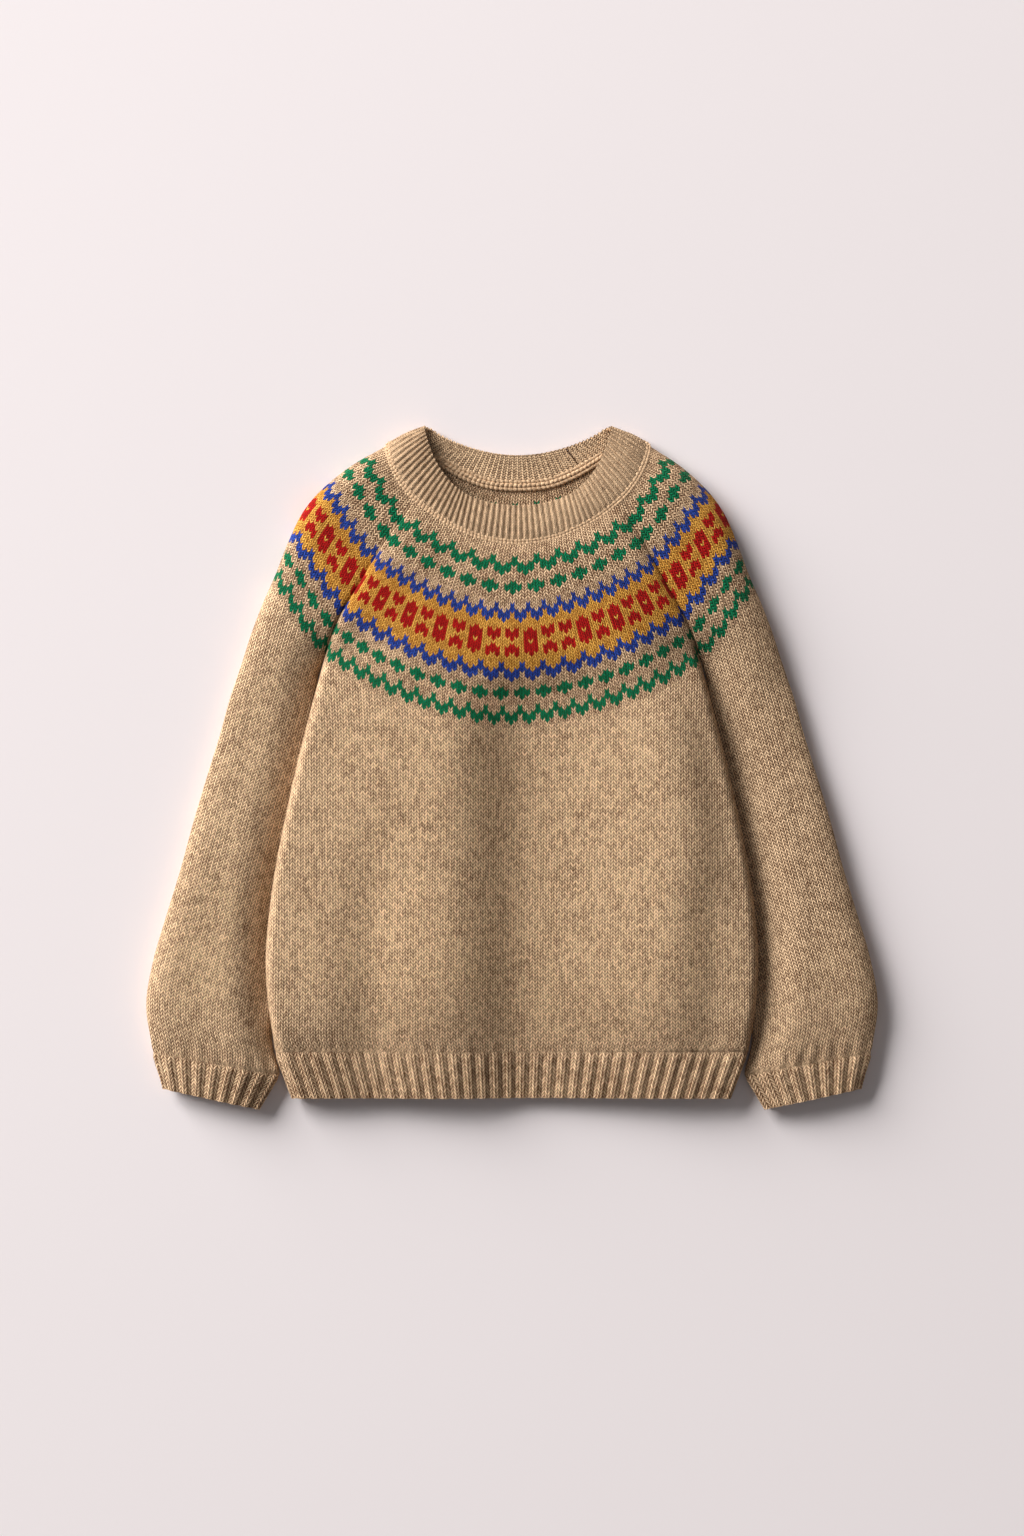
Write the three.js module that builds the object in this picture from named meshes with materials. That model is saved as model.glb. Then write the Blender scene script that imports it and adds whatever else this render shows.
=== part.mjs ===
// A child's round-yoke jumper laid flat, back down, in millimetres.
// X runs across the chest, Y from the hem up to the neck, Z up from the surface it lies on.
// Each cloth piece is a wall with an outer face, an inner face and rims along its seams.
import * as THREE from 'three';

const WALL = 2; // thickness of the knitted cloth
const SEAM_GAP = 0.3; // space between two pieces along a seam
const NECK_SHIFT = 3.8; // the neck lies a little to the right of the body
const BODY_ROLL = 6; // plan width over which the body turns at its side
const TUCK_RISE = 24; // plan width over which cloth comes down from what it lies on
const TUCK_MARGIN = 1.5; // room left beside the tucked edge
const SIDE_TURN = 5.1; // height of the turn at the body's side below its seam
const SIDE_RISE = 8.5; // and above it
const YOKE_TURN = 12; // how much wider the turn beside the front raglan seam gets up to the neck
const BACK_TURN = 6; // the same beside the back raglan seam
const SWELL = { left: 62, right: 45 }; // plan width over which the front rises to its crown
const CROWN = 24; // height of that crown
const YOKE_RISE = 5.1; // height of the front's turn beside the raglan seams
const TUCK_HEIGHT = 5.9; // height of the flat sleeve edge that lies under the body
const FOLD_ROLL_TOP = 15; // plan width of the turn at the sleeve's outer fold, above
const FOLD_ROLL_BACK = 8; // and below
const UNDER_ROLL = 4; // plan width of the turn at the underarm seam
const UNDER_SEAM = 3.1; // height of the underarm seam where the body lies over it
const UNDER_RISE = TUCK_HEIGHT - UNDER_SEAM; // height that the sleeve gains beside it
const FOLD_HEIGHT = 8; // height of the outer fold's furthest line
const RIB_RELIEF = 0.9; // height of a rib over the furrow beside it
const upward = (normal) => step(-0.4, 0.2, normal.z); // 0 where the cloth faces the surface below

const HEM_RIBS = 35; // ribs across one face of the hem
const CUFF_RIBS = 17; // ribs round a cuff
const NECK_RIBS = 66; // ribs round the neckband
const BAND_WALL = 2.4; // thickness of the neckband

const TAN = '#b59471';
const TAN_DARK = '#a98866';

// Body sections from the hem rib up to the armpit.
// half: half the width; side: height of the side seam; top: height of the crown.
const BODY = [
  { y: -181.4, half: 151.4, side: 7.6, top: 15 },
  { y: -163.2, half: 154.2, side: 10.6, top: 19 },
  { y: -142.1, half: 156.8, side: 11.6, top: 22 },
  { y: -117.8, half: 157.4, side: 11.6, top: 23.5 },
  { y: -90.0, half: 155.0, side: 11.6, top: 24 },
  { y: -60.0, half: 150.6, side: 11.6, top: 24 },
  { y: -30.0, half: 144.6, side: 11.6, top: 24 },
  { y: 0, half: 138.0, side: 11.6, top: 24 },
  { y: 24, half: 132.0, side: 11.5, top: 24 },
  { y: 44, half: 127.0, side: 11.2, top: 24 },
  { y: 58, half: 123.2, side: 10.4, top: 24 },
  { y: 71.7, half: 119.7, side: 8, top: 24 },
];

// Sleeve sections from the cuff up to the armpit, outer fold and underarm seam.
// rise: height of the underarm seam; top: height of the crown.
const SLEEVE = [
  { foldX: 229.6, foldY: -181.8, underX: 149.0, underY: -196.5, rise: 5.6, top: 13 },
  { foldX: 234.2, foldY: -152.3, underX: 154.0, underY: -171, rise: 3.6, top: 16 },
  { foldX: 229.8, foldY: -123.5, underX: 147.4, underY: -143, rise: UNDER_SEAM, top: 17 },
  { foldX: 221.4, foldY: -94.7, underX: 142.2, underY: -115.2, rise: UNDER_SEAM, top: 16.5 },
  { foldX: 212.2, foldY: -64.6, underX: 140.2, underY: -86, rise: UNDER_SEAM, top: 16 },
  { foldX: 204.2, foldY: -35.2, underX: 135.7, underY: -56, rise: UNDER_SEAM, top: 15 },
  { foldX: 195.8, foldY: -7, underX: 130.4, underY: -28, rise: UNDER_SEAM, top: 14 },
  { foldX: 187.8, foldY: 18.6, underX: 126.4, underY: 0.6, rise: UNDER_SEAM, top: 13 },
  { foldX: 181.1, foldY: 42.9, underX: 124.6, underY: 26.9, rise: UNDER_SEAM, top: 13 },
  { foldX: 176.4, foldY: 57, underX: 125.0, underY: 44, rise: 3.4, top: 14 },
  { foldX: 172.4, foldY: 69, underX: 124.4, underY: 58, rise: 4.8, top: 15.5 },
  { foldX: 167.0, foldY: 85.8, underX: 119.7, underY: 71.7, rise: 8, top: 17 },
];

// Yoke sections from the armpit up to the neck: front raglan seam, outer fold, back seam.
// frontZ and backZ: heights of the two seams; top: crown of the sleeve; body: crown of the front.
const YOKE = [
  { frontX: 119.7, frontY: 71.7, frontZ: 8, foldX: 167.0, foldY: 85.8,
    backX: 119.7, backY: 71.7, backZ: 8, top: 17, body: 24, sag: 0 },
  { frontX: 115.4, frontY: 84.5, frontZ: 13.2, foldX: 160.0, foldY: 104.3,
    backX: 113.6, backY: 89.0, backZ: 4, top: 18, body: 23.8, sag: -3 },
  { frontX: 108.8, frontY: 99.2, frontZ: 16, foldX: 151.9, foldY: 122.9,
    backX: 107.0, backY: 106.0, backZ: 1.4, top: 18.5, body: 23.4, sag: -7 },
  { frontX: 100.5, frontY: 113.3, frontZ: 17.2, foldX: 143.6, foldY: 144.6,
    backX: 100.0, backY: 124.0, backZ: 0.4, top: 18.6, body: 22.8, sag: -10 },
  { frontX: 90.9, frontY: 129.9, frontZ: 17.6, foldX: 134.6, foldY: 163.8,
    backX: 92.5, backY: 143.0, backZ: 0, top: 18.2, body: 22, sag: -14 },
  { frontX: 81.3, frontY: 145.9, frontZ: 17.8, foldX: 122.2, foldY: 179.2,
    backX: 84.0, backY: 162.5, backZ: 0, top: 17.8, body: 21, sag: -18 },
  { frontX: 72.0, frontY: 159.6, frontZ: 17.4, foldX: 104.0, foldY: 194.3,
    backX: 75.5, backY: 183.0, backZ: 0, top: 17.4, body: 19.6, sag: -22 },
];

// Half of the line where the neckband is linked on, from the centre front round to the centre back.
// x is measured from the centre of the neck.
const LINKING = [
  { x: 0, y: 144.0, z: 17.6 },
  { x: 19.2, y: 146.2, z: 17.6 },
  { x: 35.2, y: 151.7, z: 17.5 },
  { x: 49.9, y: 159.4, z: 17.2 },
  { x: 62.1, y: 168.6, z: 16.8 },
  { x: 71.0, y: 177.6, z: 16.2 },
  { x: 77.4, y: 187.2, z: 15.4 },
  { x: 81.6, y: 197.0, z: 13.6 },
  { x: 83.4, y: 206.4, z: 8 },
  { x: 78.6, y: 209.4, z: 2.2 },
  { x: 70.4, y: 206.6, z: 0.4 },
  { x: 60.8, y: 200.6, z: 0 },
  { x: 48.6, y: 192.2, z: 0 },
  { x: 34.6, y: 184.6, z: 0 },
  { x: 19.2, y: 179.2, z: 0 },
  { x: 0, y: 177.6, z: 0 },
];
const FRONT_SEAM_AT = 4.35; // where on that line the front raglan seam ends
const FOLD_AT = 8; // where it turns over the shoulder
const BACK_SEAM_AT = 10.7; // where the back raglan seam ends

// Half of the neckband's free edge, the same way round.
const FREE_EDGE = [
  { x: 0, y: 167.7, z: 14.6 },
  { x: 16.0, y: 169.2, z: 14.6 },
  { x: 30.6, y: 173.6, z: 14.5 },
  { x: 40.0, y: 180.0, z: 14.3 },
  { x: 48.0, y: 189.0, z: 13.8 },
  { x: 53.4, y: 198.0, z: 13.2 },
  { x: 56.8, y: 206.8, z: 12.2 },
  { x: 58.8, y: 213.4, z: 10.6 },
  { x: 59.6, y: 218.4, z: 7 },
  { x: 56.4, y: 218.0, z: 3 },
  { x: 50.6, y: 214.0, z: 1.8 },
  { x: 43.4, y: 210.2, z: 1.6 },
  { x: 34.4, y: 206.8, z: 1.6 },
  { x: 24.0, y: 203.8, z: 1.6 },
  { x: 12.6, y: 201.6, z: 1.6 },
  { x: 0, y: 200.8, z: 1.6 },
];

// Lower edges of the hem and cuff ribs.
const HEM_END = { y: -211.2, half: 140.4, side: 6, top: 12.5 };
const CUFF_END = { foldX: 222.6, foldY: -205.4, underX: 162.4, underY: -218.4, side: 6, top: 12 };

// How each sleeve rises beside the body: how far it first lies low past the edge that covers it,
// and over what plan width it then comes up. The left one is full and the right one pressed down.
const SLEEVE_RISE = { left: { margin: TUCK_MARGIN, width: 26 }, right: { margin: 8, width: 42 } };
const riseOf = (side) => (side < 0 ? SLEEVE_RISE.left : SLEEVE_RISE.right);

// Soft waves of the laid front: x of the crest, its height where the body is fullest, its width
// before and beyond the crest, and the heights y that it runs from and to.
const WAVES = [
  { x: -38, height: 4.0, before: 30, beyond: 26, low: -235, high: 60 },
  { x: 8, height: -9.0, before: 26, beyond: 56, low: -250, high: 75 },
  { x: 112, height: 3.5, before: 34, beyond: 24, low: -225, high: 60 },
  { x: -91, height: -3.4, before: 17, beyond: 17, low: -230, high: -40 },
  { x: 126, height: -2.6, before: 15, beyond: 15, low: -200, high: -60 },
];

const WAVE_EDGE = 30; // the waves die out over this plan width at the sides
const WAVE_START = 25; // and over this much on each side of their low end
const WAVE_FINISH = 40; // and this much below their high end

const clamp = (value, low, high) => Math.min(high, Math.max(low, value));
const smooth = (t) => t * t * (3 - 2 * t);
const step = (low, high, value) => smooth(clamp((value - low) / (high - low), 0, 1));
const arc = (t) => Math.sqrt(1 - (1 - clamp(t, 0, 1)) ** 2);

// A point on a half line mirrored about the neck centre, with round corners between its rows.
// at runs from the centre front to the centre back on one side.
function onLine(line, at, side) {
  const last = line.length - 1;
  const index = clamp(Math.floor(at), 0, last - 1);
  const rows = [-1, 0, 1, 2].map((offset) => {
    const wanted = index + offset;
    if (wanted < 0) return { ...line[-wanted], x: -line[-wanted].x };
    if (wanted > last) return { ...line[2 * last - wanted], x: -line[2 * last - wanted].x };
    return line[wanted];
  });
  const t = at - index;
  const value = (name) => {
    const [a, b, c, d] = rows.map((row) => row[name]);
    return b + 0.5 * t * (c - a + t * (2 * a - 5 * b + 4 * c - d + t * (3 * (b - c) + d - a)));
  };
  return new THREE.Vector3(NECK_SHIFT + side * value('x'), value('y'), value('z'));
}

// Value of a column of a table at a place in another column that rises or falls steadily.
function lookUp(table, by, name, value) {
  for (let i = 0; i < table.length - 1; i += 1) {
    const t = (value - table[i][by]) / (table[i + 1][by] - table[i][by]);
    if (t <= 1 && (t >= 0 || i === 0)) {
      return table[i][name] + clamp(t, 0, 1) * (table[i + 1][name] - table[i][name]);
    }
  }
  return table.at(-1)[name];
}

// How far the body's edge reaches over the sleeve's inner edge at a height y.
function tuckAt(y) {
  return Math.max(0, lookUp(BODY, 'y', 'half', y) - lookUp(SLEEVE, 'underY', 'underX', y));
}

// Sum of the waves at a place, for a body whose crown is this high there.
function wave(x, y, top) {
  let sum = 0;
  for (const row of WAVES) {
    const width = x < row.x ? row.before : row.beyond;
    const across = Math.exp(-(((x - row.x) / width) ** 2));
    const along = step(row.low - WAVE_START, row.low + WAVE_START, y)
      * (1 - step(row.high - WAVE_FINISH, row.high, y));
    sum += row.height * across * along;
  }
  return (sum * top) / CROWN;
}

// How far along the yoke a row is moved towards the neck's own centre.
const shiftAt = (part) => NECK_SHIFT * part ** 3;

// The front and back share these sections: below the armpit and, above it, up to the neck.
const ARMPIT_ROW = BODY.length - 1;
const YOKE_ROWS = YOKE.length; // the last row of the yoke is the linking line

// Column places from side to side: the turn at each side and then even steps.
const TURN = [0, 0.13, 0.42, 1];
const FRONT_MIDDLE = 17;
const BACK_MIDDLE = 4;
const BACK_BESIDE = [16, 22, 29, 40]; // further columns of the back where it comes down at its sides

function columnPlaces(half, roll, middle, beside = []) {
  const scale = Math.min(1, half / BODY[ARMPIT_ROW].half);
  const inwards = [...TURN.map((part) => part * roll), ...beside.map((distance) => distance * scale)];
  const left = inwards.map((distance) => distance - half);
  const inner = half - inwards.at(-1);
  const places = [...left];
  for (let i = 1; i < middle; i += 1) {
    places.push(-inner + (2 * inner * i) / middle);
  }
  places.push(...left.map((x) => -x).reverse());
  return places;
}

// A body row below the armpit, front face.
function frontBodyRow(row) {
  return columnPlaces(row.half, BODY_ROLL, FRONT_MIDDLE).map((x) => {
    const inward = row.half - Math.abs(x);
    const edge = Math.min(row.top - row.side, SIDE_RISE);
    const rest = row.top - row.side - edge;
    const swell = rest * step(0, x < 0 ? SWELL.left : SWELL.right, inward);
    const soft = step(2, WAVE_EDGE, inward);
    const z = row.side + edge * arc(inward / BODY_ROLL) + swell + wave(x, row.y, row.top) * soft;
    return new THREE.Vector3(x, row.y, z);
  });
}

// A body row below the armpit, back face: flat on the surface, lifted over the tucked sleeve.
function backBodyRow(row) {
  return columnPlaces(row.half, BODY_ROLL, BACK_MIDDLE, BACK_BESIDE).map((x) => {
    const inward = row.half - Math.abs(x);
    const lift = Math.max(0, row.side - SIDE_TURN);
    const clear = tuckAt(row.y) + TUCK_MARGIN;
    const down = step(clear, clear + TUCK_RISE, inward);
    const z = row.side - (row.side - lift) * arc(inward / BODY_ROLL) - lift * down;
    return new THREE.Vector3(x, row.y, Math.max(0, z));
  });
}

// A yoke row of the front from the left raglan seam to the right one, sagging to the neck.
function frontYokeRow(at) {
  const row = YOKE[at];
  const part = at / YOKE_ROWS;
  const roll = BODY_ROLL + YOKE_TURN * part;
  return columnPlaces(row.frontX, roll, FRONT_MIDDLE).map((x) => {
    const inward = row.frontX - Math.abs(x);
    const across = x / row.frontX;
    const y = row.frontY + row.sag * (1 - across * across);
    const edge = Math.min(row.body - row.frontZ, YOKE_RISE);
    const rest = row.body - row.frontZ - edge;
    const swell = rest * step(0, x < 0 ? SWELL.left : SWELL.right, inward);
    const soft = step(2, WAVE_EDGE, inward);
    const z = row.frontZ + edge * arc(inward / roll) + swell + wave(x, y, row.body) * soft;
    return new THREE.Vector3(x + shiftAt(part), y, z);
  });
}

const BACK_SAG = 0.45; // the back's rows sag less than the front's, because its neck is higher

// A yoke row of the back.
function backYokeRow(at) {
  const row = YOKE[at];
  const part = at / YOKE_ROWS;
  return columnPlaces(row.backX, BODY_ROLL + BACK_TURN * part, BACK_MIDDLE, BACK_BESIDE).map((x) => {
    const inward = row.backX - Math.abs(x);
    const across = x / row.backX;
    const y = row.backY + row.sag * BACK_SAG * (1 - across * across);
    const z = row.backZ * (1 - step(0, TUCK_RISE, inward));
    return new THREE.Vector3(x + shiftAt(part), y, z);
  });
}

// The linking line between two places on it, as one row of a panel.
function linkingRow(places) {
  return places.map(([at, side]) => onLine(LINKING, at, side));
}

// Places on the linking line for a panel whose row has these positions from side to side.
function neckPlaces(parts, from, to) {
  return parts.map((part) => {
    const across = 2 * part - 1;
    return [to + (from - to) * Math.abs(across), across < 0 ? -1 : 1];
  });
}

const partsOf = (places) => {
  const first = places[0];
  const width = places[places.length - 1] - first;
  return places.map((x) => (x - first) / width);
};

function frontNeck() {
  const parts = partsOf(columnPlaces(YOKE.at(-1).frontX, BODY_ROLL + YOKE_TURN, FRONT_MIDDLE));
  return neckPlaces(parts, FRONT_SEAM_AT, 0);
}

function backNeck() {
  const parts = partsOf(columnPlaces(YOKE.at(-1).backX, BODY_ROLL + BACK_TURN, BACK_MIDDLE, BACK_BESIDE));
  return neckPlaces(parts, BACK_SEAM_AT, LINKING.length - 1);
}

function sleeveNeck(side) {
  const over = SLEEVE_FRONT.length;
  const under = SLEEVE_BACK.length - 1;
  const places = [];
  for (let i = 0; i < over; i += 1) places.push(FRONT_SEAM_AT + ((FOLD_AT - FRONT_SEAM_AT) * i) / over);
  for (let i = 0; i <= under; i += 1) places.push(FOLD_AT + ((BACK_SEAM_AT - FOLD_AT) * i) / under);
  return places.map((at) => [at, side]);
}

function frontPanel() {
  const rows = BODY.map(frontBodyRow);
  for (let at = 1; at < YOKE_ROWS; at += 1) rows.push(frontYokeRow(at));
  rows.push(linkingRow(frontNeck()));
  return rows;
}

function backPanel() {
  const rows = BODY.map(backBodyRow);
  for (let at = 1; at < YOKE_ROWS; at += 1) rows.push(backYokeRow(at));
  rows.push(linkingRow(backNeck()));
  return rows;
}

// Columns of a sleeve from its front seam over the outer fold to its back seam.
const SLEEVE_FRONT = [0, 0.035, 0.1, 0.22, 0.36, 0.5, 0.64, 0.78, 0.89, 0.965];
const SLEEVE_BACK = [1, 0.975, 0.93, 0.86, 0.62, 0.36, 0.18, 0.06, 0];

// Height of a sleeve's upper face. inward: distance from the front seam, outward: from the fold.
function sleeveTop(row, rise, seamZ, inward, outward) {
  const low = seamZ + Math.min(UNDER_RISE, row.top - seamZ) * arc(inward / UNDER_ROLL);
  const clear = row.underY === undefined ? 0 : tuckAt(row.underY) + rise.margin;
  const high = low + (row.top - low) * step(clear, clear + rise.width, inward);
  return FOLD_HEIGHT + (high - FOLD_HEIGHT) * arc(outward / FOLD_ROLL_TOP);
}

// Height of its lower face, which rests on the surface; open: whether it ends at a raglan seam.
function sleeveBottom(open, seamZ, inward, outward) {
  const rest = FOLD_HEIGHT * (1 - arc(outward / FOLD_ROLL_BACK));
  const fall = open ? step(0, TUCK_RISE, inward) : arc(inward / UNDER_ROLL);
  return Math.max(rest, seamZ * (1 - fall));
}

function sleeveRow(row, front, back, fold, side, shift) {
  const points = [];
  const place = (seam, part, height) => {
    const x = seam.x + (fold.x - seam.x) * part;
    const y = seam.y + (fold.y - seam.y) * part;
    const width = Math.hypot(fold.x - seam.x, fold.y - seam.y);
    const z = height(seam.z, width * part, width * (1 - part));
    points.push(new THREE.Vector3(side * x + shift, y, z));
  };
  for (const part of SLEEVE_FRONT) place(front, part, (z, a, b) => sleeveTop(row, riseOf(side), z, a, b));
  for (const part of SLEEVE_BACK) place(back, part, (z, a, b) => sleeveBottom(row.open, z, a, b));
  return points;
}

function sleevePanel(side) {
  const rows = SLEEVE.map((row, j) => {
    const seam = { x: row.underX, y: row.underY, z: row.rise };
    const fold = { x: row.foldX, y: row.foldY };
    return sleeveRow({ ...row, open: j === ARMPIT_ROW }, seam, seam, fold, side, 0);
  });
  for (let at = 1; at < YOKE_ROWS; at += 1) {
    const row = YOKE[at];
    const front = { x: row.frontX, y: row.frontY, z: row.frontZ };
    const back = { x: row.backX, y: row.backY, z: row.backZ };
    const fold = { x: row.foldX, y: row.foldY };
    rows.push(sleeveRow({ top: row.top, open: true }, front, back, fold, side, shiftAt(at / YOKE_ROWS)));
  }
  rows.push(linkingRow(sleeveNeck(side)));
  return rows;
}

// Outward normals of a grid of points; facing is 1 or -1 for the way its rows run.
function normalsOf(grid, facing) {
  return grid.map((row, j) => row.map((point, i) => {
    const along = new THREE.Vector3().subVectors(
      row[Math.min(i + 1, row.length - 1)], row[Math.max(i - 1, 0)]);
    const up = new THREE.Vector3().subVectors(
      grid[Math.min(j + 1, grid.length - 1)][i], grid[Math.max(j - 1, 0)][i]);
    return along.cross(up).multiplyScalar(facing).normalize();
  }));
}

function makePiece(name, grid, facing, colour, wall = WALL) {
  return { name, grid, normals: normalsOf(grid, facing), facing, colour, wall };
}

// Gives the pieces that meet along a seam one normal at each of its points.
function shareNormals(...edges) {
  const count = Math.min(...edges.map((edge) => edge.length));
  for (let k = 0; k < count; k += 1) {
    const sum = new THREE.Vector3();
    for (const edge of edges) sum.add(edge[k]);
    sum.normalize();
    for (const edge of edges) edge[k].copy(sum);
  }
}

const column = (grid, i, from = 0, to = grid.length) => grid.slice(from, to).map((row) => row.at(i));

// Moves one border of a piece back from its seam, within the cloth.
function drawBack(piece, border, next) {
  border.forEach((point, k) => {
    const inward = new THREE.Vector3().subVectors(next[k], point).normalize();
    point.addScaledVector(inward, SEAM_GAP / 2);
  });
}

// The closed solid of a piece: outer face, inner face and the rims between them.
function solid(piece, relief = () => 0) {
  const { grid, normals, facing, wall } = piece;
  const height = grid.length;
  const width = grid[0].length;
  const positions = [];
  const push = (point) => positions.push(point.x, point.y, point.z);
  grid.forEach((row, j) => row.forEach((point, i) => {
    const raised = relief(i, j) * upward(normals[j][i]);
    push(point.clone().addScaledVector(normals[j][i], raised));
  }));
  grid.forEach((row, j) => row.forEach((point, i) => {
    push(point.clone().addScaledVector(normals[j][i], -wall));
  }));
  const indices = [];
  const outer = (j, i) => j * width + i;
  const inner = (j, i) => (height + j) * width + i;
  const apart = (a, b) => Math.hypot(
    positions[3 * a] - positions[3 * b],
    positions[3 * a + 1] - positions[3 * b + 1],
    positions[3 * a + 2] - positions[3 * b + 2],
  );
  const triangle = (a, b, c) => (facing > 0 ? indices.push(a, b, c) : indices.push(a, c, b));
  const quad = (a, b, c, d) => {
    if (apart(a, c) < apart(b, d)) {
      triangle(a, b, c);
      triangle(a, c, d);
    } else {
      triangle(a, b, d);
      triangle(b, c, d);
    }
  };
  for (let j = 0; j < height - 1; j += 1) {
    for (let i = 0; i < width - 1; i += 1) {
      quad(outer(j, i), outer(j, i + 1), outer(j + 1, i + 1), outer(j + 1, i));
      quad(inner(j, i), inner(j + 1, i), inner(j + 1, i + 1), inner(j, i + 1));
    }
  }
  for (let i = 0; i < width - 1; i += 1) {
    quad(inner(0, i), inner(0, i + 1), outer(0, i + 1), outer(0, i));
    quad(outer(height - 1, i), outer(height - 1, i + 1), inner(height - 1, i + 1), inner(height - 1, i));
  }
  for (let j = 0; j < height - 1; j += 1) {
    quad(inner(j + 1, 0), inner(j, 0), outer(j, 0), outer(j + 1, 0));
    quad(outer(j + 1, width - 1), outer(j, width - 1), inner(j, width - 1), inner(j + 1, width - 1));
  }
  const geometry = new THREE.BufferGeometry();
  geometry.setAttribute('position', new THREE.Float32BufferAttribute(positions, 3));
  geometry.setIndex(indices);
  geometry.computeVertexNormals();
  const material = new THREE.MeshStandardMaterial({
    color: piece.colour, roughness: 0.95, metalness: 0,
  });
  const mesh = new THREE.Mesh(geometry, material);
  mesh.name = piece.name;
  return mesh;
}

// A point of a row, with its normal, at a part of the row's length.
function onRow(row, normals, part) {
  const lengths = [0];
  for (let i = 1; i < row.length; i += 1) lengths.push(lengths[i - 1] + row[i].distanceTo(row[i - 1]));
  const wanted = part * lengths[row.length - 1];
  let index = 0;
  while (index < row.length - 2 && lengths[index + 1] < wanted) index += 1;
  const t = (wanted - lengths[index]) / (lengths[index + 1] - lengths[index]);
  return {
    at: index + t,
    point: row[index].clone().lerp(row[index + 1], t),
    normal: normals[index].clone().lerp(normals[index + 1], t).normalize(),
  };
}

// The point of a row at a count of its own steps.
function atIndex(row, at) {
  const index = clamp(Math.floor(at), 0, row.length - 2);
  return row[index].clone().lerp(row[index + 1], at - index);
}

// Places of the ribs of a 2 by 2 rib: two columns on each crest and two in each furrow.
function ribPlaces(ribs) {
  const places = [0];
  for (let rib = 0; rib < ribs; rib += 1) {
    for (const part of [0.1, 0.45, 0.55, 1]) places.push((rib + part) / ribs);
  }
  places[places.length - 1] = 1;
  return places;
}
const onCrest = (i) => i % 4 === 1 || i % 4 === 2;

// Moves the nearest sample on to each corner of a line, so that no straight edge cuts the corner.
function toCorners(samples, row, normals) {
  for (let k = 1; k < row.length - 1; k += 1) {
    let nearest = 1;
    for (let i = 1; i < samples.length - 1; i += 1) {
      if (Math.abs(samples[i].at - k) < Math.abs(samples[nearest].at - k)) nearest = i;
    }
    samples[nearest] = { at: k, point: row[k].clone(), normal: normals[k].clone() };
  }
}

// Samples of a row at these parts of its length, or at its own corners.
function samplesOf(row, normals, places) {
  if (!places) return row.map((point, at) => ({ at, point: point.clone(), normal: normals[at].clone() }));
  const samples = places.map((part) => onRow(row, normals, part));
  toCorners(samples, row, normals);
  return samples;
}

// A band from the edge row of a panel down to its own lower edge, ribbed if it has places for ribs.
function band(name, edge, normals, lower, places, facing, colour) {
  const top = samplesOf(edge, normals, places);
  const grid = BAND_DEPTHS.map((t) => top.map(({ at, point }) => point.clone().lerp(atIndex(lower, at), t)));
  grid.reverse();
  const piece = makePiece(name, grid, facing, colour);
  piece.normals[grid.length - 1] = top.map(({ normal }) => normal.clone());
  return piece;
}
const BAND_DEPTHS = [0, 0.14, 1];

// The ring of points where the neckband starts, from the join at the right of the back, leftwards,
// with the place of each on the linking line counted on round the neck.
const ROUND = 2 * (LINKING.length - 1);
const JOIN_AT = 12.4;

function neckRing(front, back, left, right) {
  const ring = [];
  const take = (piece, places, reverse) => {
    const row = piece.grid.at(-1);
    const order = row.map((point, i) => ({ point, normal: piece.normals.at(-1)[i], place: places[i] }));
    ring.push(...(reverse ? order.reverse() : order));
  };
  const turned = ([at, side]) => (side > 0 ? at : ROUND - at);
  take(back, backNeck().map(turned), true);
  take(left, sleeveNeck(-1).map(turned), true);
  take(front, frontNeck().map(turned), false);
  take(right, sleeveNeck(1).map(turned), false);
  const onward = ring.map((entry) => ({
    ...entry, place: entry.place < JOIN_AT ? entry.place + ROUND : entry.place,
  }));
  onward.sort((a, b) => a.place - b.place);
  const first = onward[0];
  const last = onward.at(-1);
  const t = (JOIN_AT + ROUND - last.place) / (first.place + ROUND - last.place);
  const point = last.point.clone().lerp(first.point, t);
  const normal = last.normal.clone().lerp(first.normal, t).normalize();
  return [{ point, normal, place: JOIN_AT }, ...onward,
    { point: point.clone(), normal: normal.clone(), place: JOIN_AT + ROUND }];
}

function freeEdgeAt(place) {
  const at = place % ROUND;
  return at <= ROUND / 2 ? onLine(FREE_EDGE, at, 1) : onLine(FREE_EDGE, ROUND - at, -1);
}

const NECK_DEPTHS = [0, 0.12, 0.5, 0.86, 1];
const NECK_SWELL = [0, 0.5, 1, 0.6, 0];

function neckband(ring) {
  const count = NECK_RIBS * 2;
  const row = ring.map((entry) => entry.point);
  const rowNormals = ring.map((entry) => entry.normal);
  const places = Array.from({ length: count + 1 }, (unused, i) => i / count);
  const start = samplesOf(row, rowNormals, places);
  const ends = start.map(({ at }) => {
    const index = clamp(Math.floor(at), 0, ring.length - 2);
    const place = ring[index].place + (ring[index + 1].place - ring[index].place) * (at - index);
    return freeEdgeAt(place);
  });
  const grid = NECK_DEPTHS.map((t, j) => start.map(({ point, normal }, i) => (
    point.clone().lerp(ends[i], t).addScaledVector(normal, NECK_SWELL[j] * upward(normal))
  )));
  const piece = makePiece('neckband', grid, 1, TAN_DARK, BAND_WALL);
  piece.normals[0] = start.map(({ normal }) => normal.clone());
  return piece;
}

// The lower edge of a cuff, from the front of the underarm seam over the fold to its back.
function cuffEnd(side) {
  const seam = { x: CUFF_END.underX, y: CUFF_END.underY, z: CUFF_END.side };
  const fold = { x: CUFF_END.foldX, y: CUFF_END.foldY };
  return sleeveRow({ top: CUFF_END.top }, seam, seam, fold, side, 0);
}

// All the pieces, with their seams matched.
const front = makePiece('front', frontPanel(), 1, TAN);
const back = makePiece('back', backPanel(), -1, TAN);
const left = makePiece('sleeve_left', sleevePanel(-1), -1, TAN);
const right = makePiece('sleeve_right', sleevePanel(1), 1, TAN);

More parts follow.
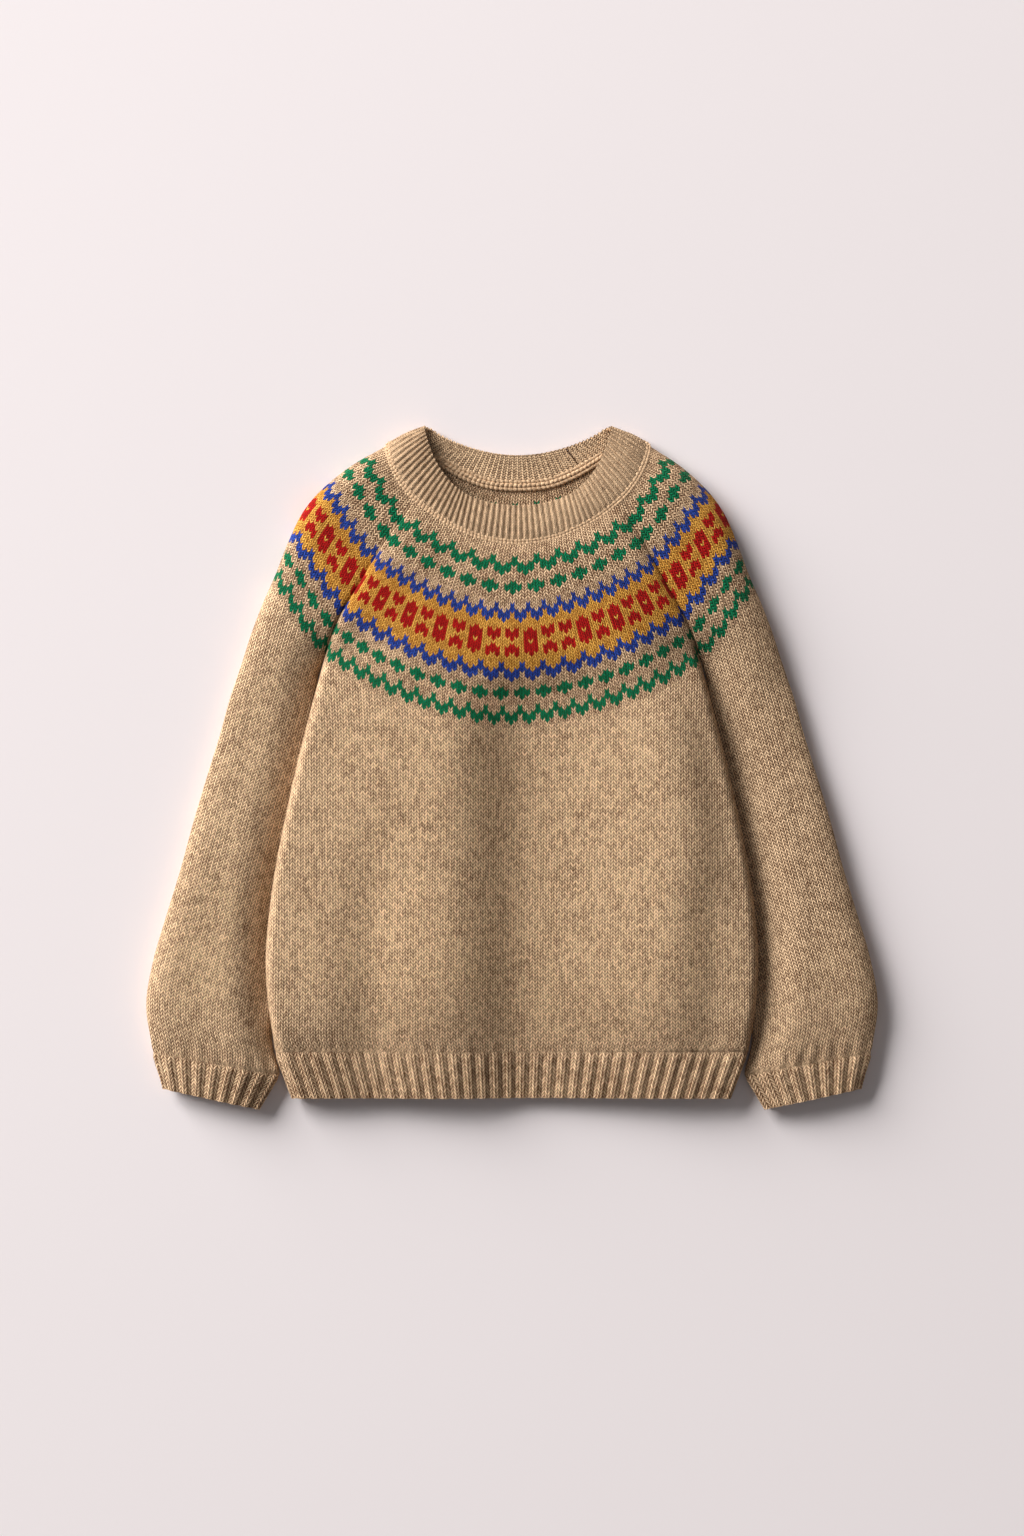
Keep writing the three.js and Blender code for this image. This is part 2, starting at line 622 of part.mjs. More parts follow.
const sideSeam = (piece, i) => column(piece.normals, i, 0, ARMPIT_ROW);
const raglan = (piece, i) => column(piece.normals, i, ARMPIT_ROW + 1);
// At the armpit four seams meet in a saddle that looks down towards the hem.
const ARMPIT_NORMAL = new THREE.Vector3(0, -1, 0);
for (const piece of [front, back, left, right]) {
  for (const i of [0, -1]) piece.normals[ARMPIT_ROW].at(i).copy(ARMPIT_NORMAL);
}

shareNormals(sideSeam(front, 0), sideSeam(back, 0));
shareNormals(sideSeam(front, -1), sideSeam(back, -1));
shareNormals(sideSeam(left, 0), sideSeam(left, -1));
shareNormals(sideSeam(right, 0), sideSeam(right, -1));
shareNormals(raglan(front, 0), raglan(left, 0));
shareNormals(raglan(front, -1), raglan(right, 0));
shareNormals(raglan(back, 0), raglan(left, -1));
shareNormals(raglan(back, -1), raglan(right, -1));

const neck = neckband(neckRing(front, back, left, right));
const hemPlaces = ribPlaces(HEM_RIBS);
const cuffPlaces = ribPlaces(CUFF_RIBS);
const bottom = (piece) => [piece.grid[0], piece.normals[0]];
const hemFront = band('hem_rib_front', ...bottom(front), frontBodyRow(HEM_END), hemPlaces, 1, TAN_DARK);
const hemBack = band('hem_rib_back', ...bottom(back), backBodyRow(HEM_END), null, -1, TAN_DARK);
const cuffLeft = band('cuff_left', ...bottom(left), cuffEnd(-1), cuffPlaces, -1, TAN_DARK);
const cuffRight = band('cuff_right', ...bottom(right), cuffEnd(1), cuffPlaces, 1, TAN_DARK);
shareNormals(column(hemFront.normals, 0), column(hemBack.normals, 0));
shareNormals(column(hemFront.normals, -1), column(hemBack.normals, -1));
shareNormals(column(cuffLeft.normals, 0), column(cuffLeft.normals, -1));
shareNormals(column(cuffRight.normals, 0), column(cuffRight.normals, -1));
shareNormals(column(neck.normals, 0), column(neck.normals, -1));

const pieces = [front, back, left, right, hemFront, hemBack, cuffLeft, cuffRight, neck];
const sewnAtTop = new Set([front, back, left, right, hemFront, hemBack, cuffLeft, cuffRight]);
const sewnAtBottom = new Set([front, back, left, right, neck]);

for (const piece of pieces) {
  const { grid } = piece;
  drawBack(piece, column(grid, 0), column(grid, 1));
  drawBack(piece, column(grid, -1), column(grid, -2));
  if (sewnAtTop.has(piece)) drawBack(piece, grid.at(-1), grid.at(-2));
  if (sewnAtBottom.has(piece)) drawBack(piece, grid[0], grid[1]);
}

const rib = (piece) => (i, j) => (j < piece.grid.length - 1 && onCrest(i) ? RIB_RELIEF : 0);
const neckRib = (i, j) => (j > 0 && i % 2 === 1 ? RIB_RELIEF : 0);
const reliefOf = new Map([
  [hemFront, rib(hemFront)], [hemBack, () => 0],
  [cuffLeft, rib(cuffLeft)], [cuffRight, rib(cuffRight)], [neck, neckRib],
]);

const group = new THREE.Group();
group.name = 'fair_isle_jumper';
for (const piece of pieces) group.add(solid(piece, reliefOf.get(piece)));

export default group;
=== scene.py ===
import math
import bmesh
import bpy
import numpy as np
from mathutils import Matrix, Vector


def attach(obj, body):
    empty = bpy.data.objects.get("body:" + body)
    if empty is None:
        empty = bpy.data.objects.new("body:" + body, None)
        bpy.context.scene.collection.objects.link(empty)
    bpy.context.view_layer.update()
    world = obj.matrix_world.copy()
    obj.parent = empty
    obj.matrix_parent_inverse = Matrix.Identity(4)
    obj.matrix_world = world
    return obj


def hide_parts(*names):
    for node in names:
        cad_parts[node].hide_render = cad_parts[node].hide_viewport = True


# A child's fair isle jumper laid flat on its back, seen from straight above.
# Tables are in millimetres, as the pieces were measured; meshes are in metres.
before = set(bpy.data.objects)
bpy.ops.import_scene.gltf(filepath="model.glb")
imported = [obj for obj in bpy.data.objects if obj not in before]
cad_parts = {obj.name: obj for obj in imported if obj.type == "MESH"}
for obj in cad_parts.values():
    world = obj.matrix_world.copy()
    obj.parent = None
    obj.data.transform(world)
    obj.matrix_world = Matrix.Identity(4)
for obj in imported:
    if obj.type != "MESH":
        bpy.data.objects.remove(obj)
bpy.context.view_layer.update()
MM = 0.001

# The camera looks straight down on the middle of the photograph's frame.
FRAME_HEIGHT = 0.983  # height of the table that the frame shows
LENS = 85.0
FILM = 36.0
OUTLINE_HEIGHT = 0.009  # height of the cloth's outline, where the frame's height holds
camera_data = bpy.data.cameras.new("overhead")
camera = bpy.data.objects.new("overhead", camera_data)
bpy.context.scene.collection.objects.link(camera)
bpy.context.scene.camera = camera
camera_data.lens = LENS
camera_data.sensor_fit = "VERTICAL"
camera_data.sensor_height = FILM
camera_data.sensor_width = FILM
camera_data.clip_end = 20.0
camera.location = (0.0, 0.0, OUTLINE_HEIGHT + FRAME_HEIGHT * LENS / FILM)

# Yarn and gauge.
WALE = 3.45  # width of a stitch
COURSE = 2.28  # height of a stitch
YOKE_COURSE = 2.0  # height of a stitch in the yoke
NECK_COURSE = 1.7  # height of a stitch in the neckband
WALL = 2.0  # thickness of the knitted cloth
BAND_WALL = 2.4  # thickness of the neckband
SEAM_GAP = 0.04  # space between two pieces along a seam

# How the cloth lies.
NECK_SHIFT = 3.8  # the neck lies a little to the right of the body
BODY_ROLL = 6.0  # plan width over which the body turns at its side
TUCK_RISE = 24.0  # plan width over which cloth comes down from what it lies on
TUCK_MARGIN = 1.5  # room left beside the tucked edge
SIDE_TURN = 5.1  # height of the turn at the body's side below its seam
SIDE_RISE_LEFT = 8.5  # height of the turn above it, at the left
SIDE_RISE_RIGHT = 8.0  # and at the right
YOKE_RISE = 5.1  # height of the front's turn beside the raglan seams
YOKE_TURN = 12.0  # how much wider the turn beside the front raglan seam gets up to the neck
BACK_TURN = 6.0  # the same beside the back raglan seam
SWELL_LEFT = 62.0  # plan width from the left side to the full height of the front
SWELL_RIGHT = 45.0  # and from the right side
CROWN = 24.0  # full height of the front
TUCK_HEIGHT = 5.9  # height of the flat sleeve edge that lies under the body
UNDER_SEAM = 3.1  # height of the underarm seam where the body lies over it
UNDER_RISE = TUCK_HEIGHT - UNDER_SEAM  # height that the sleeve gains beside it
UNDER_ROLL = 4.0  # plan width of the turn at the underarm seam
FOLD_HEIGHT = 8.0  # height of the outer fold's furthest line
FOLD_ROLL_TOP = 15.0  # plan width of the turn at the sleeve's outer fold, above
FOLD_ROLL_BACK = 8.0  # and below
BACK_SAG = 0.45  # the back's rows sag less than the front's, because its neck is higher
WAVE_EDGE = 30.0  # the waves die out over this plan width at the sides
WAVE_START = 25.0  # and over this much on each side of their low end
WAVE_FINISH = 40.0  # and this much below their high end

# Ribs.
HEM_RIBS = 35  # ribs across one face of the hem
CUFF_RIBS = 17  # ribs round a cuff
NECK_RIBS = 104  # ribs round the neckband
RIB_RELIEF = 1.2  # height of a rib of the hem and cuffs over the furrow beside it
NECK_RELIEF = 0.8  # and of the neckband
RIB_CREST = 0.275  # where a rib's crest stands in its repeat
RIB_FADE = 0.14  # share of a band's depth over which its ribs grow from the seam
NECK_PUFF = 1.0  # how far the neckband swells out in the middle of its depth

# Body rows from the hem up to the armpit: height, half width, side seam, crown.
BODY = np.array([
    (-181.4, 151.4, 7.6, 15), (-163.2, 154.2, 10.6, 19), (-142.1, 156.8, 11.6, 22),
    (-117.8, 157.4, 11.6, 23.5), (-90.0, 155.0, 11.6, 24), (-60.0, 150.6, 11.6, 24),
    (-30.0, 144.6, 11.6, 24), (0, 138.0, 11.6, 24), (24, 132.0, 11.5, 24),
    (44, 127.0, 11.2, 24), (58, 123.2, 10.4, 24), (71.7, 119.7, 8, 24)])

# Sleeve rows from the cuff up to the armpit: outer fold, underarm seam, its height, crown.
SLEEVE = np.array([
    (229.6, -181.8, 149.0, -196.5, 5.6, 13), (234.2, -152.3, 154.0, -171, 3.6, 16),
    (229.8, -123.5, 147.4, -143, 3.1, 17), (221.4, -94.7, 142.2, -115.2, 3.1, 16.5),
    (212.2, -64.6, 140.2, -86, 3.1, 16), (204.2, -35.2, 135.7, -56, 3.1, 15),
    (195.8, -7, 130.4, -28, 3.1, 14), (187.8, 18.6, 126.4, 0.6, 3.1, 13),
    (181.1, 42.9, 124.6, 26.9, 3.1, 13), (176.4, 57, 125.0, 44, 3.4, 14),
    (172.4, 69, 124.4, 58, 4.8, 15.5), (167.0, 85.8, 119.7, 71.7, 8, 17)])

# Yoke rows from the armpit up: front raglan seam, outer fold, back raglan seam, then
# the crowns of the sleeve and the body, and how far the row sags in the middle.
YOKE = np.array([
    (119.7, 71.7, 8, 167.0, 85.8, 119.7, 71.7, 8, 17, 24, 0),
    (115.4, 84.5, 13.2, 160.0, 104.3, 113.6, 89.0, 4, 18, 23.8, -3),
    (108.8, 99.2, 16, 151.9, 122.9, 107.0, 106.0, 1.4, 18.5, 23.4, -7),
    (100.5, 113.3, 17.2, 143.6, 144.6, 100.0, 124.0, 0.4, 18.6, 22.8, -10),
    (90.9, 129.9, 17.6, 134.6, 163.8, 92.5, 143.0, 0, 18.2, 22, -14),
    (81.3, 145.9, 17.8, 122.2, 179.2, 84.0, 162.5, 0, 17.8, 21, -18),
    (72.0, 159.6, 17.4, 104.0, 194.3, 75.5, 183.0, 0, 17.4, 19.6, -22)])

# Half of the line where the neckband is linked on, from the centre front to the centre back.
LINKING = np.array([
    (0, 144.0, 17.6), (19.2, 146.2, 17.6), (35.2, 151.7, 17.5), (49.9, 159.4, 17.2),
    (62.1, 168.6, 16.8), (71.0, 177.6, 16.2), (77.4, 187.2, 15.4), (81.6, 197.0, 13.6),
    (83.4, 206.4, 8), (78.6, 209.4, 2.2), (70.4, 206.6, 0.4), (60.8, 200.6, 0),
    (48.6, 192.2, 0), (34.6, 184.6, 0), (19.2, 179.2, 0), (0, 177.6, 0)])
FRONT_SEAM_AT = 4.35  # where on that line the front raglan seam ends
FOLD_AT = 8.0  # where it turns over the shoulder
BACK_SEAM_AT = 10.7  # where the back raglan seam ends
JOIN_AT = 12.4  # where the neckband's two ends are joined

# Half of the neckband's free edge, the same way round.
FREE_EDGE = np.array([
    (0, 167.7, 14.6), (16.0, 169.2, 14.6), (30.6, 173.6, 14.5), (40.0, 180.0, 14.3),
    (48.0, 189.0, 13.8), (53.4, 198.0, 13.2), (56.8, 206.8, 12.2), (58.8, 213.4, 10.6),
    (59.6, 218.4, 7), (56.4, 218.0, 3), (50.6, 214.0, 1.8), (43.4, 210.2, 1.6),
    (34.4, 206.8, 1.6), (24.0, 203.8, 1.6), (12.6, 201.6, 1.6), (0, 200.8, 1.6)])

# The free edges of the hem and the cuffs, as a row of the body and of the sleeve.
HEM_END = (-211.2, 140.4, 6, 12.5)
CUFF_END = (222.6, -205.4, 162.4, -218.4, 6, 12)

# Soft waves of the laid front: x of the crest, its height where the body is fullest, its width
# before and beyond the crest, and the heights y that it runs from and to.
WAVES = [(-38, 4.0, 30, 26, -235, 60), (8, -9.0, 26, 56, -250, 75),
         (112, 3.5, 34, 24, -225, 60), (-91, -3.4, 17, 17, -230, -40),
         (126, -3.6, 18, 15, -205, -50)]

ARMPIT_ROW = len(BODY) - 1
YOKE_ROWS = len(YOKE)
# Steps between two measured rows: below the armpit and above it.
BODY_STEPS = 11
YOKE_STEPS = 8


def clamp(value, low, high):
    """The value kept between low and high."""
    return np.minimum(high, np.maximum(low, value))


def step(low, high, value):
    """A smooth change from 0 at low to 1 at high."""
    t = clamp((value - low) / (high - low), 0, 1)
    return t * t * (3 - 2 * t)


def arc(t):
    """Height of a quarter circle, from 0 at its foot to 1."""
    return np.sqrt(1 - (1 - clamp(t, 0, 1)) ** 2)


def on_line(line, at, side):
    """Points on a half line mirrored about the neck's centre, with round corners."""
    last = len(line) - 1
    at = np.asarray(at, dtype=float)
    index = clamp(np.floor(at), 0, last - 1).astype(int)
    rows = []
    for offset in (-1, 0, 1, 2):
        wanted = index + offset
        mirror = (wanted < 0) | (wanted > last)
        wanted = np.where(wanted < 0, -wanted, wanted)
        wanted = np.where(wanted > last, 2 * last - wanted, wanted)
        row = line[wanted].copy()
        row[..., 0] = np.where(mirror, -row[..., 0], row[..., 0])
        rows.append(row)
    a, b, c, d = rows
    t = (at - index)[..., None]
    point = b + 0.5 * t * (c - a + t * (2 * a - 5 * b + 4 * c - d + t * (3 * (b - c) + d - a)))
    point[..., 0] = NECK_SHIFT + side * point[..., 0]
    return point


def tuck_at(y):
    """How far the body's edge reaches over the sleeve's inner edge."""
    return max(0.0, np.interp(y, BODY[:, 0], BODY[:, 1]) - np.interp(y, SLEEVE[:, 3], SLEEVE[:, 2]))


def wave(x, y, top):
    """Height that the waves add at a place where the cloth stands as high as top."""
    total = np.zeros_like(x)
    for crest, height, before, beyond, low, high in WAVES:
        across = np.exp(-(((x - crest) / np.where(x < crest, before, beyond)) ** 2))
        starting = step(low - WAVE_START, low + WAVE_START, y)
        along = starting * (1 - step(high - WAVE_FINISH, high, y))
        total += height * across * along
    return total * top / CROWN


def shift_at(part):
    """How far a yoke row is shifted towards the neck's centre."""
    return NECK_SHIFT * part ** 3


# Even angles round a turned edge, as parts of the turn's plan width.
TURN = 1 - np.cos(np.linspace(0, math.pi / 2, 9))
# Steps between the columns of the front and of the back, inside their sides.
FRONT_MIDDLE = 116
BACK_MIDDLE = 76
# Columns of the back just inside its turned edge, where the cloth comes down to the table.
BACK_SIDE = np.linspace(2, 34, 13)


def column_places(half, roll, middle, beside=()):
    """Places of a row's columns, closest where the cloth turns at its sides."""
    scale = min(1.0, half / BODY[ARMPIT_ROW, 1])
    inwards = np.concatenate([TURN * roll, roll + np.asarray(beside) * scale])
    inner = half - inwards[-1]
    places = np.linspace(-inner, inner, middle + 1)[1:-1]
    return np.concatenate([inwards - half, places, (half - inwards)[::-1]])


def stack(x, y, z):
    """Points of a row."""
    return np.stack([x, np.broadcast_to(y, x.shape), np.broadcast_to(z, x.shape)], axis=-1)


def front_body_row(row):
    y, half, side, top = row
    x = column_places(half, BODY_ROLL, FRONT_MIDDLE)
    inward = half - np.abs(x)
    edge = np.minimum(top - side, np.where(x < 0, SIDE_RISE_LEFT, SIDE_RISE_RIGHT))
    swell = (top - side - edge) * step(0, np.where(x < 0, SWELL_LEFT, SWELL_RIGHT), inward)
    z = side + edge * arc(inward / BODY_ROLL) + swell
    return stack(x, y, z + wave(x, y, top) * step(2, WAVE_EDGE, inward))


def back_body_row(row):
    y, half, side, top = row
    x = column_places(half, BODY_ROLL, BACK_MIDDLE, BACK_SIDE)
    inward = half - np.abs(x)
    lift = max(0.0, side - SIDE_TURN)
    clear = tuck_at(y) + TUCK_MARGIN
    down = step(clear, clear + TUCK_RISE, inward)
    z = side - (side - lift) * arc(inward / BODY_ROLL) - lift * down
    return stack(x, y, np.maximum(0, z))


def front_yoke_row(at):
    front_x, front_y, front_z = YOKE[at, 0:3]
    body, sag = YOKE[at, 9:11]
    part = at / YOKE_ROWS
    roll = BODY_ROLL + YOKE_TURN * part
    x = column_places(front_x, roll, FRONT_MIDDLE)
    inward = front_x - np.abs(x)
    y = front_y + sag * (1 - (x / front_x) ** 2)
    edge = min(body - front_z, YOKE_RISE)
    rest = body - front_z - edge
    swell = rest * step(0, np.where(x < 0, SWELL_LEFT, SWELL_RIGHT), inward)
    soft = step(2, WAVE_EDGE, inward)
    z = front_z + edge * arc(inward / roll) + swell + wave(x, y, body) * soft
    return stack(x + shift_at(part), y, z)


def back_yoke_row(at):
    back_x, back_y, back_z = YOKE[at, 5:8]
    sag = YOKE[at, 10]
    part = at / YOKE_ROWS
    x = column_places(back_x, BODY_ROLL + BACK_TURN * part, BACK_MIDDLE, BACK_SIDE)
    inward = back_x - np.abs(x)
    y = back_y + sag * BACK_SAG * (1 - (x / back_x) ** 2)
    return stack(x + shift_at(part), y, back_z * (1 - step(0, TUCK_RISE, inward)))


def neck_row(places, start, end):
    """The linking line's part from start at the seams to end in the middle, as one row."""
    across = 2 * (places - places[0]) / (places[-1] - places[0]) - 1
    return on_line(LINKING, end + (start - end) * np.abs(across), np.where(across < 0, -1, 1))


def front_panel():
    rows = [front_body_row(row) for row in BODY]
    rows += [front_yoke_row(at) for at in range(1, YOKE_ROWS)]
    places = column_places(YOKE[-1, 0], BODY_ROLL + YOKE_TURN, FRONT_MIDDLE)
    rows.append(neck_row(places, FRONT_SEAM_AT, 0))
    return np.array(rows)


def back_panel():
    rows = [back_body_row(row) for row in BODY]
    rows += [back_yoke_row(at) for at in range(1, YOKE_ROWS)]
    places = column_places(YOKE[-1, 5], BODY_ROLL + BACK_TURN, BACK_MIDDLE, BACK_SIDE)
    rows.append(neck_row(places, BACK_SEAM_AT, len(LINKING) - 1))
    return np.array(rows)


SLEEVE_MIDDLE = 26
UNDER_TURN = 1 - np.cos(np.linspace(0, math.pi / 2, 6))


def sleeve_parts(width, roll):
    """Columns of one face of a sleeve from its seam to its outer fold, as parts of the width."""
    near = UNDER_TURN * UNDER_ROLL / width
    far = 1 - TURN[::-1] * roll / width
    middle = np.linspace(near[-1], far[0], SLEEVE_MIDDLE + 1)[1:-1]
    return np.concatenate([near, middle, far])


def sleeve_top(top, lean, clear, rise, seam_z, inward, outward):
    low = seam_z + min(UNDER_RISE, top - seam_z) * arc(inward / UNDER_ROLL)
    leant = top + lean * ((outward - inward) / (outward + inward))
    high = low + (leant - low) * np.sin(clamp((inward - clear) / rise, 0, 1) * math.pi / 2)
    return FOLD_HEIGHT + (high - FOLD_HEIGHT) * arc(outward / FOLD_ROLL_TOP)


def sleeve_bottom(open_seam, seam_z, inward, outward):
    rest = FOLD_HEIGHT * (1 - arc(outward / FOLD_ROLL_BACK))
    fall = step(0, TUCK_RISE, inward) if open_seam else arc(inward / UNDER_ROLL)
    return np.maximum(rest, seam_z * (1 - fall))


def sleeve_row(top, lean, clear, rise, open_seam, front, back, fold, side, shift):
    faces = []
    for above, seam, roll in ((True, front, FOLD_ROLL_TOP), (False, back, FOLD_ROLL_BACK)):
        width = math.hypot(fold[0] - seam[0], fold[1] - seam[1])
        parts = sleeve_parts(width, roll)
        x = seam[0] + (fold[0] - seam[0]) * parts
        y = seam[1] + (fold[1] - seam[1]) * parts
        inward = width * parts
        outward = width * (1 - parts)
        if above:
            z = sleeve_top(top, lean, clear, rise, seam[2], inward, outward)
        else:
            z = sleeve_bottom(open_seam, seam[2], inward, outward)
        faces.append(stack(side * x + shift, y, z))
    return np.concatenate([faces[0], faces[1][::-1][1:]])


# How each sleeve lies beside the body: its margin beyond the edge that covers it, the width
# over which it rises there, and how much higher it is beside the body than at its outer fold.
SLEEVE_LIES = {-1: (0.5, 26.0, 2.0), 1: (2.0, 30.0, 1.6)}


def sleeve_panel(side):
    rows = []
    margin, rise, lean = SLEEVE_LIES[side]
    for j, (fold_x, fold_y, under_x, under_y, seam_rise, top) in enumerate(SLEEVE):
        seam = (under_x, under_y, seam_rise)
        clear = tuck_at(under_y) + margin
        rows.append(sleeve_row(top, lean, clear, rise, j == ARMPIT_ROW, seam, seam,
                               (fold_x, fold_y), side, 0))
    for at in range(1, YOKE_ROWS):
        row = YOKE[at]
        part = at / YOKE_ROWS
        rows.append(sleeve_row(row[8], lean * (1 - part), 0, rise, True, row[0:3], row[5:8],
                               row[3:5], side, shift_at(part)))
    count = len(rows[0]) // 2
    over = FRONT_SEAM_AT + (FOLD_AT - FRONT_SEAM_AT) * np.linspace(0, 1, count + 1)
    under = FOLD_AT + (BACK_SEAM_AT - FOLD_AT) * np.linspace(0, 1, count + 1)[1:]
    rows.append(on_line(LINKING, np.concatenate([over, under]), side))
    return np.array(rows)


def between_rows(grid):
    """A smooth surface through the measured rows, at finer rows."""
    last = len(grid) - 1
    ats = [k + s / n for k in range(last)
           for n in [BODY_STEPS if k < ARMPIT_ROW else YOKE_STEPS] for s in range(n)]
    ats.append(last)
    before = 2 * grid[0] - grid[1]
    after = 2 * grid[-1] - grid[-2]
    padded = np.concatenate([before[None], grid, after[None]])
    rows = []
    for at in ats:
        k = min(int(at), last - 1)
        t = at - k
        a, b, c, d = padded[k:k + 4]
        rows.append(b + 0.5 * t * (c - a + t * (2 * a - 5 * b + 4 * c - d
                                                + t * (3 * (b - c) + d - a))))
    fine = np.array(rows)
    fine[..., 2] = np.maximum(fine[..., 2], 0)
    return fine


def normals_of(grid, facing):
    along = np.gradient(grid, axis=1)
    up = np.gradient(grid, axis=0)
    normals = facing * np.cross(along, up)
    return normals / np.maximum(np.linalg.norm(normals, axis=-1, keepdims=True), 1e-9)


def lengths_across(grid):
    steps = np.linalg.norm(np.diff(grid, axis=1), axis=-1)
    return np.concatenate([np.zeros((len(grid), 1)), np.cumsum(steps, axis=1)], axis=1)


def lengths_down(grid):
    """Distance along each column from the last row, where the neckband is linked on."""
    steps = np.linalg.norm(np.diff(grid, axis=0), axis=-1)[::-1]
    down = np.concatenate([np.zeros((1, grid.shape[1])), np.cumsum(steps, axis=0)])
    return down[::-1]


def draw_back(grid, left=True, right=True, low=True, high=True):
    """Moves the borders of a piece back from its seams, within the cloth."""
    moved = grid.copy()

    def pull(border, following):
        inward = following - border
        inward /= np.maximum(np.linalg.norm(inward, axis=-1, keepdims=True), 1e-9)
        return border + inward * (SEAM_GAP / 2)
    if left:
        moved[:, 0] = pull(grid[:, 0], grid[:, 1])
    if right:
        moved[:, -1] = pull(grid[:, -1], grid[:, -2])
    if low:
        moved[0] = pull(grid[0], grid[1])
    if high:
        moved[-1] = pull(grid[-1], grid[-2])
    return moved


def cloth(name, grid, facing, wall, maps, materials):
    """A cut piece: its grid of outer points in millimetres, with a wall inside it."""
    rows, columns = grid.shape[:2]
    work = bmesh.new()
    bmesh.ops.create_grid(work, x_segments=columns - 1, y_segments=rows - 1, size=1.0)
    order = np.empty(len(work.verts), dtype=int)
    for k, vert in enumerate(work.verts):
        i = round((vert.co.x + 1) / 2 * (columns - 1))
        j = round((vert.co.y + 1) / 2 * (rows - 1))
        order[k] = j * columns + i
        vert.co = Vector(grid[j, i]) * MM
    for edge in work.edges:
        edge.smooth = not edge.is_boundary
    if facing < 0:
        bmesh.ops.reverse_faces(work, faces=work.faces)
    mesh = bpy.data.meshes.new(name)
    work.to_mesh(mesh)
    work.free()
    corners = np.empty(len(mesh.loops), dtype=np.int32)
    mesh.loops.foreach_get("vertex_index", corners)
    for label, values in maps.items():
        layer = mesh.uv_layers.new(name=label)
        layer.data.foreach_set("uv", values.reshape(-1, 2)[order[corners]].ravel())
    mesh.shade_smooth()
    piece = bpy.data.objects.new(name, mesh)
    bpy.context.scene.collection.objects.link(piece)
    for material in materials:
        mesh.materials.append(material)
    shell = piece.modifiers.new("cloth wall", "SOLIDIFY")
    shell.thickness = wall * MM
    shell.offset = -1.0
    shell.material_offset = 1 if len(materials) > 1 else 0
    return piece


# Colours of the yarns: each high colour is the yarn on a stitch's crest, and each low colour is the
# yarn's darker tone and painted shade for the stitch's hollows.
def yarn(red, green, blue):
    """A colour given as it is seen, turned into light."""
    parts = [part / 255 for part in (red, green, blue)]
    return (*[part / 12.92 if part <= 0.04045 else ((part + 0.055) / 1.055) ** 2.4
              for part in parts], 1.0)


TAN_HIGH = yarn(250, 212, 170)
TAN_DARK_AND_PAINTED_SHADE = yarn(94, 57, 33)
GOLD_HIGH = yarn(250, 188, 86)
GOLD_DARK_AND_PAINTED_SHADE = yarn(150, 84, 18)
BLUE_HIGH = yarn(48, 84, 184)
BLUE_DARK_AND_PAINTED_SHADE = yarn(16, 30, 82)
RED_HIGH = yarn(204, 24, 24)
RED_DARK_AND_PAINTED_SHADE = yarn(122, 6, 4)
GREEN_HIGH = yarn(0, 132, 86)
GREEN_DARK_AND_PAINTED_SHADE = yarn(0, 74, 44)


class Strand:
    """A socket of a material's nodes that Python's operators work on."""

    def __init__(self, tree, socket):
        self.tree = tree
        self.socket = socket

    def node(self, kind, settings, inputs, output=0):
        """Any node: its settings first, then the values or strands of its sockets."""
        made = self.tree.nodes.new(kind)
        for name, value in settings.items():
            setattr(made, name, value)
        for key, value in inputs.items():
            if isinstance(value, Strand):
                self.tree.links.new(value.socket, made.inputs[key])
            else:
                made.inputs[key].default_value = value
        return Strand(self.tree, made.outputs[output])

    def math(self, operation, *others):
        return self.node("ShaderNodeMath", {"operation": operation},
                         dict(enumerate((self, *others))))

    def __add__(self, other):
        return self.math("ADD", other)

    def __radd__(self, other):
        return self + other

    def __sub__(self, other):
        return self.math("SUBTRACT", other)

    def __rsub__(self, other):
        return self * -1 + other

    def __mul__(self, other):
        return self.math("MULTIPLY", other)

    def __rmul__(self, other):
        return self * other

    def __truediv__(self, other):
        return self.math("DIVIDE", other)

    def __pow__(self, other):
        return self.math("POWER", other)

    def __mod__(self, other):
        return self.math("FLOORED_MODULO", other)

    def __abs__(self):
        return self.math("ABSOLUTE")

    def __lt__(self, other):
        return self.math("LESS_THAN", other)

    def __gt__(self, other):
        return self.math("GREATER_THAN", other)

    def floor(self):
        return self.math("FLOOR")

    def fraction(self):
        return self.math("FRACT")

    def between(self, low, high):
        """1 from low up to high, not including high, and 0 elsewhere, for whole numbers."""
        return (self > low - 0.5) * (self < high - 0.5)

    def mix(self, first, second):
        """The colour first where this is 0 and second where it is 1."""
        return self.node("ShaderNodeMix", {"data_type": "RGBA"}, {0: self, 6: first, 7: second}, 2)


def new_material(name):
    material = bpy.data.materials.new(name)
    material.use_nodes = True
    tree = material.node_tree
    shader = tree.nodes["Principled BSDF"]
    shader.inputs["Roughness"].default_value = 0.92
    shader.inputs["Specular IOR Level"].default_value = 0.1
    shader.inputs["Sheen Weight"].default_value = 0.1
    shader.inputs["Sheen Tint"].default_value = yarn(255, 214, 170)
    shader.inputs["Sheen Roughness"].default_value = 0.5
    return material, tree, shader


def uv_of(tree, label):
    """The two numbers of a UV map."""
    source = Strand(tree, None).node("ShaderNodeUVMap", {"uv_map": label}, {})
    return (source.node("ShaderNodeSeparateXYZ", {}, {0: source}, 0),
            source.node("ShaderNodeSeparateXYZ", {}, {0: source}, 1))


# Courses that a stitch's leg would climb over a whole stitch's width, plain and in ribs.
LEG = 2.0
RIB_LEG = 2.6
STREAK = 0.22  # how quickly the yarn's shade changes along a row, against across the rows
# How much of the tone the single stitch and the streak along its row change.
CHANCE_SHARE = 0.45
STREAK_SHARE = 0.5


# The yoke's bands, from the neckband down. Each has its first course, the courses that a
# zigzag's line falls by and its thickness, the stitches of a repeat and their width, and how
# far the repeat stands from the middle of the front.
def band_of(first, drop, thick, repeat, width, start):
    return {"first": first, "drop": drop, "thick": thick, "repeat": repeat, "width": width,
            "start": start}


